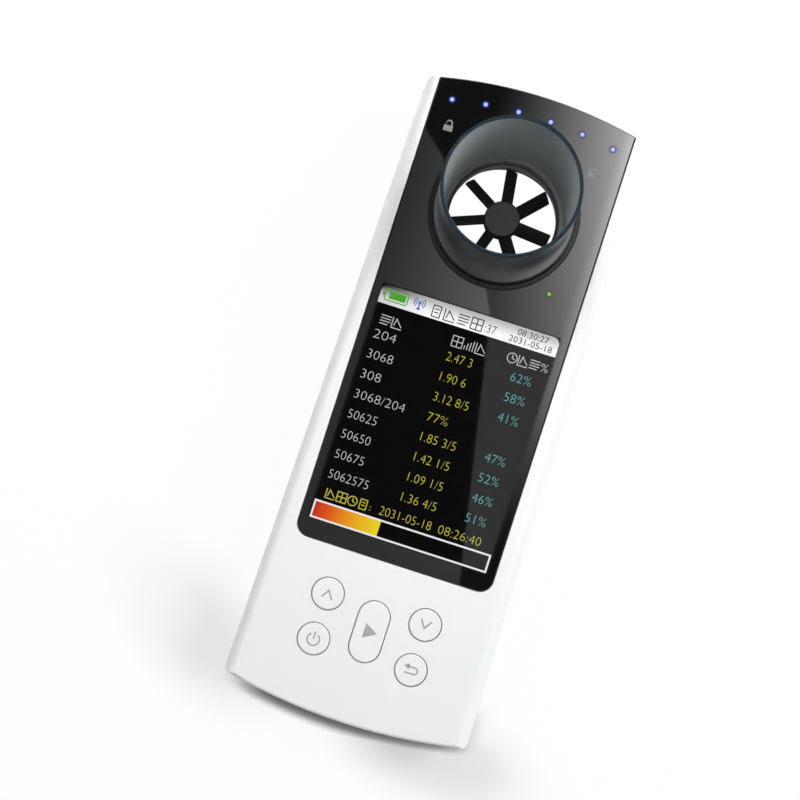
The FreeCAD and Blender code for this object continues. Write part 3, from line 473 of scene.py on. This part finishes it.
# The front glass is one clear acrylic plate printed black from behind round the screen.
# It is glued into the front cover, polished, and its edge is ground to a small bevel.
black_glass, shader, place = start_finish("black printed glass")
across, along, _ = in_millimetres(place)
smears = grain(place, 14, 4)
feed(shader, {
    "Base Color": smears.either((0.0012, 0.0012, 0.0013), (0.0022, 0.0022, 0.0024)),
    "Roughness": 0.015 + 0.02 * smears,
    "IOR": 1.52,
    "Alpha": inside(across, along, *clear_window).between(1, glass_tint),
})
dress(black_glass, "front_glass")

# The screen is a small colour display whose lit part shows through the clear window.
# Its picture is a table of plain numbers, with a white strip on top and a coloured bar below.
dead_screen, shader, place = start_finish("dark screen")
feed(shader, {
    "Base Color": grain(place, 2).either((0.0035, 0.0018, 0.0018), (0.0045, 0.0024, 0.0022)),
    "Roughness": 0.3 + 0.05 * grain(place, 1),
    "Specular IOR Level": 0.0,
})
dress(dead_screen, "lcd_module")


def shine(shader, colour):
    """Lets a finish give only light, as strong as the smoked window asks for."""
    feed(shader, {
        "Base Color": (0, 0, 0), "Roughness": 0.6, "Specular IOR Level": 0.0,
        "Emission Color": colour, "Emission Strength": 1 / (1 - glass_tint),
    })


def glow_finish(name, colour):
    """A lit colour on the screen, with the faint unevenness of its dots."""
    made, shader, place = start_finish(name)
    shine(shader, grain(place, 0.25).either([share * 0.94 for share in colour], colour))
    return made


def block(drawing, left, low, right, high):
    """Draws a flat rectangle."""
    made = bmesh.ops.create_grid(drawing, x_segments=1, y_segments=1, size=0.5)["verts"]
    bmesh.ops.scale(drawing, vec=(right - left, high - low, 1), verts=made)
    bmesh.ops.translate(drawing, vec=((left + right) / 2, (low + high) / 2, 0), verts=made)


def numbers(drawing, words, left, middle, height, width, thin=0.06):
    """Draws a line of thin digits: its left end, its middle line, its height and its width."""
    line = bpy.data.curves.new("line", "FONT")
    line.body = words
    line.size = height / digit_share
    line.offset = -thin
    line.resolution_u = 3
    holder = bpy.data.objects.new("line", line)
    scene.collection.objects.link(holder)
    mesh = bpy.data.meshes.new_from_object(holder)
    ends = [corner.co.x for corner in mesh.vertices]
    widen = Matrix.Diagonal((width / (max(ends) - min(ends)), 1, 1, 1))
    to_left = Matrix.Translation((-min(ends), 0, 0))
    mesh.transform(Matrix.Translation((left, middle - height / 2, 0)) @ widen @ to_left)
    drawing.from_mesh(mesh)
    bpy.data.objects.remove(holder)
    bpy.data.curves.remove(line)
    bpy.data.meshes.remove(mesh)


def page_edge(half_width):
    """The outline of an upright page one unit high."""
    corners = [(-half_width, -0.5), (half_width, -0.5), (half_width, 0.5), (-half_width, 0.5)]
    return corners + corners[:1]


def row_of_pictures(drawing, kinds, left, middle, size, pitch, width):
    """Draws a row of small line pictures, which stand where a screen has its headings."""
    for i, kind in enumerate(kinds):
        centre = Vector((left + size / 2 + i * pitch, middle))
        for path in pictures[kind]:
            stroke(drawing, [centre + Vector(point) * size for point in path], width)


def shown_on_screen(name, drawing, height, finish):
    """Lays a drawing on the screen at that height."""
    printed(name, drawing, height, "housing", finish)


# Each line picture is a list of paths in a square that is one unit wide, with its middle at 0.
pictures = {
    "grid": [page_edge(0.5), [(-0.5, 0), (0.5, 0)], [(0, -0.5), (0, 0.5)]],
    "list": [[(-0.5, y), (end, y)] for y, end in ((0.4, 0.5), (0.13, 0.5), (-0.13, 0.5), (-0.4, 0.3))],
    "bars": [[(x, -0.5), (x, end)] for x, end in ((-0.4, -0.1), (-0.13, 0.15), (0.13, 0.3), (0.4, 0.5))],
    "curve": [[(-0.5, 0.5), (-0.5, -0.5), (0.5, -0.5)], [(-0.3, -0.3), (-0.15, 0.4), (0.1, 0.1), (0.45, -0.3)]],
    "clock": [arc_path((0, 0), 0.48, 90, 450, 20), [(0, 0.32), (0, 0), (0.26, -0.12)]],
    "page": [page_edge(0.35), [(-0.18, 0.2), (0.18, 0.2)], [(-0.18, -0.1), (0.18, -0.1)]],
}
screen_top = top_of("lcd_module")
panel_top, bar_top, mark_top = screen_top + 0.012, screen_top + 0.03, screen_top + 0.06
window_left, window_low, window_right, window_high = clear_window
digit_share, past_window, panel_half = 0.7, 0.05, 21.75
panel = bmesh.new()
block(panel, -panel_half, window_low - past_window, panel_half, window_high + past_window)
shown_on_screen("screen_panel", panel, panel_top, dead_screen)

# Each row of the table has a name, a value and a share. The widths are those of the printed words.
row_pitch, first_row, digit_height = 4.94, 12.3, 2.2
names_left, values_left, shares_left, share_width = -20.4, -2.5, 13.2, 5.0
readings = (
    ("204", 5.4, "2.47 3", 6.2, "62%"),
    ("3068", 6.2, "1.90 6", 6.2, "58%"),
    ("308", 4.8, "3.12 8/5", 8.5, "41%"),
    ("3068/204", 12.3, "77%", 5.0, ""),
    ("50625", 7.0, "1.85 3/5", 8.5, "47%"),
    ("50650", 7.0, "1.42 1/5", 8.5, "52%"),
    ("50675", 7.0, "1.09 1/5", 8.5, "46%"),
    ("5062575", 9.7, "1.36 4/5", 8.5, "51%"),
)
names, values, shares = bmesh.new(), bmesh.new(), bmesh.new()
for row, (name, name_width, value, value_width, share) in enumerate(readings):
    middle = first_row - row * row_pitch
    numbers(names, name, names_left, middle, digit_height, name_width)
    numbers(values, value, values_left, middle, digit_height, value_width)
    if share:
        numbers(shares, share, shares_left, middle, digit_height, share_width, thin=0.035)
row_of_pictures(names, ("list", "curve"), -20.0, 15.9, size=2.5, pitch=2.9, width=0.22)
row_of_pictures(names, ("grid", "bars", "curve"), -2.4, 16.1, size=2.5, pitch=2.9, width=0.22)
row_of_pictures(names, ("clock", "curve", "list"), 11.0, 16.4, size=2.4, pitch=2.75, width=0.22)
numbers(names, "%", 19.2, 16.4, height=2.0, width=1.8, thin=0.03)
shown_on_screen("screen_names", names, mark_top, glow_finish("white screen light", (0.50, 0.50, 0.50)))
foot_row = -26.9
row_of_pictures(values, ("curve", "grid", "clock", "page"), -19.6, foot_row, size=2.3, pitch=2.65, width=0.24)
numbers(values, ":", -8.9, foot_row - 0.1, height=1.6, width=0.4)
numbers(values, "2031-05-18", -6.4, foot_row, digit_height, width=12.6)
numbers(values, "08:26:40", 8.0, foot_row, digit_height, width=10.4)
shown_on_screen("screen_values", values, mark_top, glow_finish("yellow screen light", (0.50, 0.47, 0.05)))
shown_on_screen("screen_shares", shares, mark_top, glow_finish("cyan screen light", (0.085, 0.30, 0.29)))

# The white strip on top of the picture darkens upwards and to the left. Its upper corners are round.
strip_low, strip_round = 19.5, 1.6
strip_light, shader, place = start_finish("strip light")
across, along, _ = in_millimetres(place)
upwards, to_right = along.ramp(20.3, 24.2), across.ramp(-22, -8)
strip_grey = 0.95 - 0.66 * upwards * (1 - 0.25 * to_right) - 0.30 * (1 - to_right)
shine(shader, strip_grey.node("CombineColor", sockets={0: strip_grey, 1: strip_grey, 2: strip_grey}))
strip = bmesh.new()
block(strip, window_left, strip_low, window_right, window_high)
bmesh.ops.bevel(
    strip, geom=[corner for corner in strip.verts if corner.co.y > strip_low + strip_round],
    offset=strip_round, offset_type="OFFSET", affect="VERTICES", segments=8, profile=0.5, material=-1)
shown_on_screen("screen_strip", strip, bar_top, strip_light)

# The battery mark is a rounded outline with a nub on its left and a filled part on its right.
cell_left, cell_low, cell_right, cell_high, cell_round = -20.2, 20.95, -15.7, 22.65, 0.5
corners = (
    (cell_right, cell_high, 90), (cell_right, cell_low, 0),
    (cell_left, cell_low, -90), (cell_left, cell_high, 180),
)
cell = [point for x, y, turn in corners for point in arc_path((x, y), cell_round, turn, turn - 90, 4)]
nub, charge_left, mark_line = (-21.25, 21.35, -20.86, 22.25), -19.65, 0.26
green_marks = bmesh.new()
stroke(green_marks, cell, mark_line, closed=True)
block(green_marks, *nub)
block(green_marks, charge_left, cell_low, cell_right, cell_high)
green = glow_finish("green screen light", (0.075, 0.36, 0.035))
shown_on_screen("screen_battery_mark", green_marks, mark_top, green)

# The signal mark is a small mast with two waves on each side of its head.
mast, mast_foot, foot_middle = (-12.3, 22.2), (-12.3, 20.6), (-12.3, 20.75)
wave_reach, wave_line, mast_line = 50, 0.22, 0.3
blue_marks = bmesh.new()
for radius in (0.75, 1.3):
    for side in (0, 180):
        stroke(blue_marks, arc_path(mast, radius, side - wave_reach, side + wave_reach, 12), wave_line)
dot(blue_marks, mast, 0.34, 20)
stroke(blue_marks, [mast, mast_foot], mast_line)
dot(blue_marks, foot_middle, 0.6, 3)
shown_on_screen("screen_signal_mark", blue_marks, mark_top, glow_finish("blue screen light", (0.04, 0.13, 0.48)))
dark_marks = bmesh.new()
row_of_pictures(dark_marks, ("page", "curve", "list", "grid"), -9.3, 21.4, size=2.7, pitch=3.3, width=mark_line)
numbers(dark_marks, ":37", 4.0, 21.3, height=2.0, width=2.7, thin=0.02)
numbers(dark_marks, "08:30:27", 11.6, 22.75, height=1.5, width=7.6, thin=0.0)
numbers(dark_marks, "2031-05-18", 10.0, 20.8, height=1.5, width=10.5, thin=0.0)
shown_on_screen("screen_dark_marks", dark_marks, mark_top, glow_finish("dark screen light", (0.025, 0.025, 0.025)))

# The bar at the foot runs from red to yellow in a thin white frame.
bar_left, bar_low, bar_right, bar_high = -21.4, -33.1, -5.3, -29.3
frame_half, frame_low, frame_high, frame_line = 21.45, -33.2, -29.2, 0.42
bar_light, shader, place = start_finish("bar light")
across, _, _ = in_millimetres(place)
bar_share = (across - bar_left) / (bar_right - bar_left)
bar_colours = [
    (0.0, (0.52, 0.02, 0.01)), (0.25, (0.72, 0.10, 0.01)),
    (0.6, (0.80, 0.34, 0.01)), (1.0, (0.80, 0.66, 0.02)),
]
shine(shader, bar_share.node("ValToRGB", {"stops": bar_colours}, {0: bar_share}))
bar = bmesh.new()
block(bar, bar_left, bar_low, bar_right, bar_high)
shown_on_screen("screen_bar", bar, bar_top, bar_light)
frame_corners = [
    (-frame_half, frame_low), (frame_half, frame_low),
    (frame_half, frame_high), (-frame_half, frame_high),
]
outline = bmesh.new()
stroke(outline, frame_corners, frame_line, closed=True)
shown_on_screen("screen_bar_line", outline, mark_top, glow_finish("bar outline light", (0.85, 0.85, 0.85)))


# Six blue lights in a bow and one green light shine through small clear spots in the glass.
# Each has a bright middle and a soft halo where the light spreads in the print round it.
def light_spots(name, middles, core, halo, core_radius, halo_radius):
    """Round spots whose light falls off from the middle; the UV map holds each spot's own place."""
    spots = bmesh.new()
    for middle in middles:
        dot(spots, middle, halo_radius, 48)
    own_place = spots.loops.layers.uv.new("own_place")
    for face in spots.faces:
        centre = face.calc_center_median()
        for loop in face.loops:
            loop[own_place].uv = (loop.vert.co.xy - centre.xy) / halo_radius * 0.5 + Vector((0.5, 0.5))
    bmesh.ops.translate(spots, vec=(0, 0, glass_top + spot_lift), verts=spots.verts)
    glow, shader, place = start_finish(name + " glow")
    right, up, _ = place.beside("UV").split()
    away = ((right - 0.5) ** 2 + (up - 0.5) ** 2) ** 0.5 * 2 * halo_radius
    haze = away.fade(core_radius * 0.5, halo_radius)
    heart = away.fade(core_radius * 0.75, core_radius * 1.25)
    feed(shader, {
        "Base Color": (0, 0, 0), "Specular IOR Level": 0.0, "Roughness": 0.5, "Emission Strength": 1.0,
        "Emission Color": heart.either(halo, core),
        "Alpha": heart.or_more(haze ** 1.6 * 0.9),
    })
    laid(name, spots, "housing", glow)


spot_lift = 0.012
light_bow_radius, light_bow_middle = 103.6, -32.1
blue_across = (-19.65, -11.8, -3.93, 3.93, 11.8, 19.65)
green_middle = (15.8, 33.0)
bow = [(x, light_bow_middle + math.sqrt(light_bow_radius ** 2 - x ** 2)) for x in blue_across]
light_spots(
    "blue_light_spots", bow, core=(0.50, 0.62, 1.0), halo=(0.04, 0.06, 0.42),
    core_radius=0.5, halo_radius=1.3)
light_spots(
    "green_light_spot", [green_middle], core=(0.28, 0.58, 0.10), halo=(0.04, 0.16, 0.015),
    core_radius=0.45, halo_radius=1.2)


# Two padlocks are printed beside the turbine, an open one and a closed one.
# They show which way the collar turns to free the turbine; the closed one is printed in a darker grey.
def padlock(name, middle, lift, colour, shade):
    """Prints a small padlock; its shackle is lifted on one side when it is open."""
    ink, shader, place = start_finish(name + " ink")
    feed(shader, {
        "Base Color": grain(place, 0.5).either(colour, shade),
        "Roughness": 0.45 + 0.1 * grain(place, 0.3),
    })
    x, y = middle
    shackle = [(x - shackle_radius, y + 0.15 + lift)]
    shackle += arc_path((x, y + 0.42 + lift / 2), shackle_radius, 180, 0, 20)
    shackle += [(x + shackle_radius, y + 0.17)]
    drawing = bmesh.new()
    block(drawing, x - lock_half, y - lock_foot, x + lock_half, y + lock_top)
    stroke(drawing, shackle, shackle_line)
    printed(name, drawing, glass_top + ink_depth, "housing", ink)


lock_half, lock_foot, lock_top = 1.08, 1.2, 0.2
shackle_radius, shackle_line = 0.66, 0.34
padlock("open_padlock", (-18.54, 63.42), 0.6, (0.15, 0.15, 0.15), (0.20, 0.20, 0.20))
padlock("closed_padlock", (16.76, 62.98), 0.0, (0.095, 0.095, 0.095), (0.12, 0.12, 0.12))


# The mouth tube is moulded from smoked clear plastic, with a polished lip and a bead near the glass.
# It is welded into the turbine body, and a paper mouthpiece is pushed into it for a test.
def turned(name, profile, body, finish):
    """A round piece about the turbine's axis, spun from its profile of radius and height in millimetres."""
    shape = bmesh.new()
    corners = [shape.verts.new((radius, 0, height)) for radius, height in profile]
    edges = [shape.edges.new(ends) for ends in zip(corners, corners[1:] + corners[:1])]
    bmesh.ops.spin(
        shape, geom=corners + edges, cent=(0, 0, 0), axis=(0, 0, 1), angle=math.tau, steps=160,
        use_merge=True, use_duplicate=False)
    bmesh.ops.remove_doubles(shape, verts=shape.verts, dist=0.0005)
    bmesh.ops.recalc_face_normals(shape, faces=shape.faces)
    bmesh.ops.translate(shape, vec=(*turbine_axis, 0), verts=shape.verts)
    for face in shape.faces:
        face.smooth = True
    made = laid(name, shape, body, finish)
    made.data.set_sharp_from_angle(angle=math.radians(35))
    return made


smoked, shader, place = start_finish("smoked clear plastic")
across, along, up = in_millimetres(place)
lip = up.ramp(42.6, 42.85)
outer_wall = from_turbine(across, along).ramp(14.6, 15.0)
edge_on = place.node("LayerWeight", sockets={0: 0.35}, out=1)
# The walls hold painted light: the inner wall is painted pale, and the outer wall is painted lighter towards its
# foot and its right side, darkest near the rim.
foot_painted_light = across.ramp(-10, 14).either((0.12, 0.122, 0.125), (0.21, 0.215, 0.22))
outer_wall_painted_light = up.ramp(23, 35).either(foot_painted_light, (0.018, 0.024, 0.028))
walls_painted_light = outer_wall.either((0.45, 0.48, 0.49), outer_wall_painted_light)
feed(shader, {
    "Base Color": lip.either(walls_painted_light, (0.0005, 0.009, 0.015)),
    "Roughness": 0.07 + 0.05 * grain(place, 5) + 0.5 * lip + 0.22 * outer_wall,
    "IOR": 1.5,
    "Specular IOR Level": 0.3,
    "Alpha": 0.70 + 0.27 * lip.or_more(edge_on).or_more(outer_wall),
})
tube_foot, bead_middle, tube_top = 15.7, 22.0, 43.0
bore, foot_radius, bead_radius = 14.4, 15.8, 16.25
tube_profile = [
    (bore, tube_foot), (foot_radius, tube_foot), (foot_radius, 21.75), (16.1, 21.8),
    (bead_radius, bead_middle), (bead_radius, 22.05), (16.1, 22.35), (foot_radius, 22.8),
    (15.2, 42.8), (15.16, 42.93), (15.03, tube_top), (14.57, tube_top), (14.44, 42.93), (bore, 42.8),
]
tube = turned("mouth_tube_clear", tube_profile, "turbine_unit", smoked)
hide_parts("mouth_tube")
dress(smoked, "mouth_tube")

# The glass shows no mirror image of the tube or of what stands in it, so reflections leave them out.
inner_pieces = (
    "lock_collar", "turbine_body", "rotor_bridge", "turbine_rotor", "rotor_shaft", "shaft_bushes", "shaft_clip",
)
for piece in [tube] + [parts[name] for name in inner_pieces]:
    piece.visible_glossy = False

# The turbine body carries the tube, and the bridge holds the rotor's shaft on three arms.
# Both are moulded from dark plastic; the throat that guides the air is painted pale, painted light for the white
# table's light coming up through it.
body_dark, shader, place = start_finish("dark turbine plastic")
across, along, up = in_millimetres(place)
from_axis = from_turbine(across, along)
ring = from_axis.fade(13.45, 13.55) * up.ramp(15.5, 15.65)
shoulder = from_axis.ramp(13.4, 13.6) * up.ramp(15.3, 15.5)
throat_painted_light = from_axis.fade(13.1, 13.4) * up.ramp(11.0, 12.0) * from_axis.ramp(12.5, 12.7)
shade = grain(place, 4).either((0.055, 0.058, 0.06), (0.08, 0.083, 0.085))
shade = shoulder.either(shade, (0.09, 0.095, 0.10))
# The throat's pale colour is painted light.
shade = throat_painted_light.either(shade, (0.60, 0.61, 0.62))
feed(shader, {
    "Base Color": ring.either(shade, (0.004, 0.004, 0.0045)),
    "Roughness": 0.30 + 0.08 * grain(place, 2) + 0.3 * ring,
    "Specular IOR Level": 0.15,
})
dress(body_dark, "turbine_body", "rotor_bridge")

# The rotor is one black moulding of seven pitched blades on a hub, and it turns on a steel shaft.
# Its blades cut an infra-red beam across the airway, which is how the flow is counted.
rotor_black, shader, place = start_finish("black rotor plastic")
feed(shader, {
    "Base Color": grain(place, 1.5).either((0.009, 0.009, 0.009), (0.013, 0.013, 0.013)),
    "Roughness": 0.42 + 0.12 * grain(place, 0.8),
    "Specular IOR Level": 0.15,
    "Normal": bump(grain(place, 0.15), 0.15, 0.01),
})
dress(rotor_black, "turbine_rotor")

# The lock collar is a glossy black ring with two lugs: a twist of it frees the turbine for washing.
# It is moulded in one piece and turns round the foot of the mouth tube.
collar_black, shader, place = start_finish("gloss black collar")
feed(shader, {
    "Base Color": grain(place, 3).either((0.010, 0.010, 0.0105), (0.014, 0.014, 0.0145)),
    "Roughness": 0.10 + 0.06 * grain(place, 2.5),
    "Specular IOR Level": 0.12,
})
dress(collar_black, "lock_collar")


# The rest is inside the case. Every part gets the finish of what it is made of, so that
# a part taken out by itself looks right: boards, chips, cell, leads, screws and rubber.
def plain_part(name, colour, shade, roughness, size, *names, metal=0.0, depth=0.01):
    """A finish for one material: two shades of its colour, an uneven shine and a fine grain."""
    made, shader, place = start_finish(name)
    feed(shader, {
        "Base Color": grain(place, size).either(colour, shade),
        "Roughness": roughness + 0.12 * grain(place, size / 2),
        "Metallic": metal,
        "Normal": bump(grain(place, size / 8), 0.2, depth),
    })
    dress(made, *names)


plain_part(
    "dark socket plastic", (0.02, 0.02, 0.021), (0.032, 0.032, 0.033), 0.3, 3.0,
    "turbine_socket", "outlet_ring")
plain_part("seal rubber", (0.012, 0.012, 0.012), (0.02, 0.02, 0.02), 0.62, 1.0, "seal_ring")
plain_part(
    "shaft steel", (0.55, 0.55, 0.56), (0.66, 0.66, 0.67), 0.2, 0.8,
    "rotor_shaft", "shaft_clip", "housing_screws", "board_screws", metal=1.0)
plain_part("bush brass", (0.55, 0.40, 0.16), (0.66, 0.50, 0.24), 0.25, 0.8, "shaft_bushes", metal=1.0)
plain_part("infra-red resin", (0.02, 0.008, 0.02), (0.03, 0.012, 0.03), 0.12, 1.0, "ir_emitter", "ir_detector")
plain_part(
    "switch black", (0.015, 0.015, 0.015), (0.03, 0.03, 0.03), 0.45, 1.0,
    "tact_switches", "main_chip", "buzzer")
plain_part("board green", (0.012, 0.10, 0.035), (0.018, 0.13, 0.05), 0.35, 2.5, "main_board")
plain_part("amber film", (0.42, 0.16, 0.02), (0.50, 0.21, 0.03), 0.3, 3.0, "lcd_flex")
plain_part("pale plastic", (0.62, 0.60, 0.54), (0.70, 0.68, 0.62), 0.4, 2.0, "lcd_connector", "battery_connector")
plain_part("port steel", (0.60, 0.60, 0.60), (0.70, 0.70, 0.70), 0.25, 1.0, "charge_port", "radio_module", metal=1.0)
plain_part("cell foil", (0.52, 0.53, 0.55), (0.62, 0.63, 0.65), 0.3, 5.0, "battery", metal=0.8)
plain_part("foam black", (0.02, 0.02, 0.02), (0.035, 0.035, 0.035), 0.85, 0.8, "battery_pad", depth=0.15)
plain_part("red lead", (0.45, 0.02, 0.015), (0.55, 0.03, 0.02), 0.4, 1.0, "battery_leads")
plain_part("clear resin", (0.55, 0.57, 0.60), (0.65, 0.67, 0.70), 0.15, 1.0, "status_leds", "light_guides")
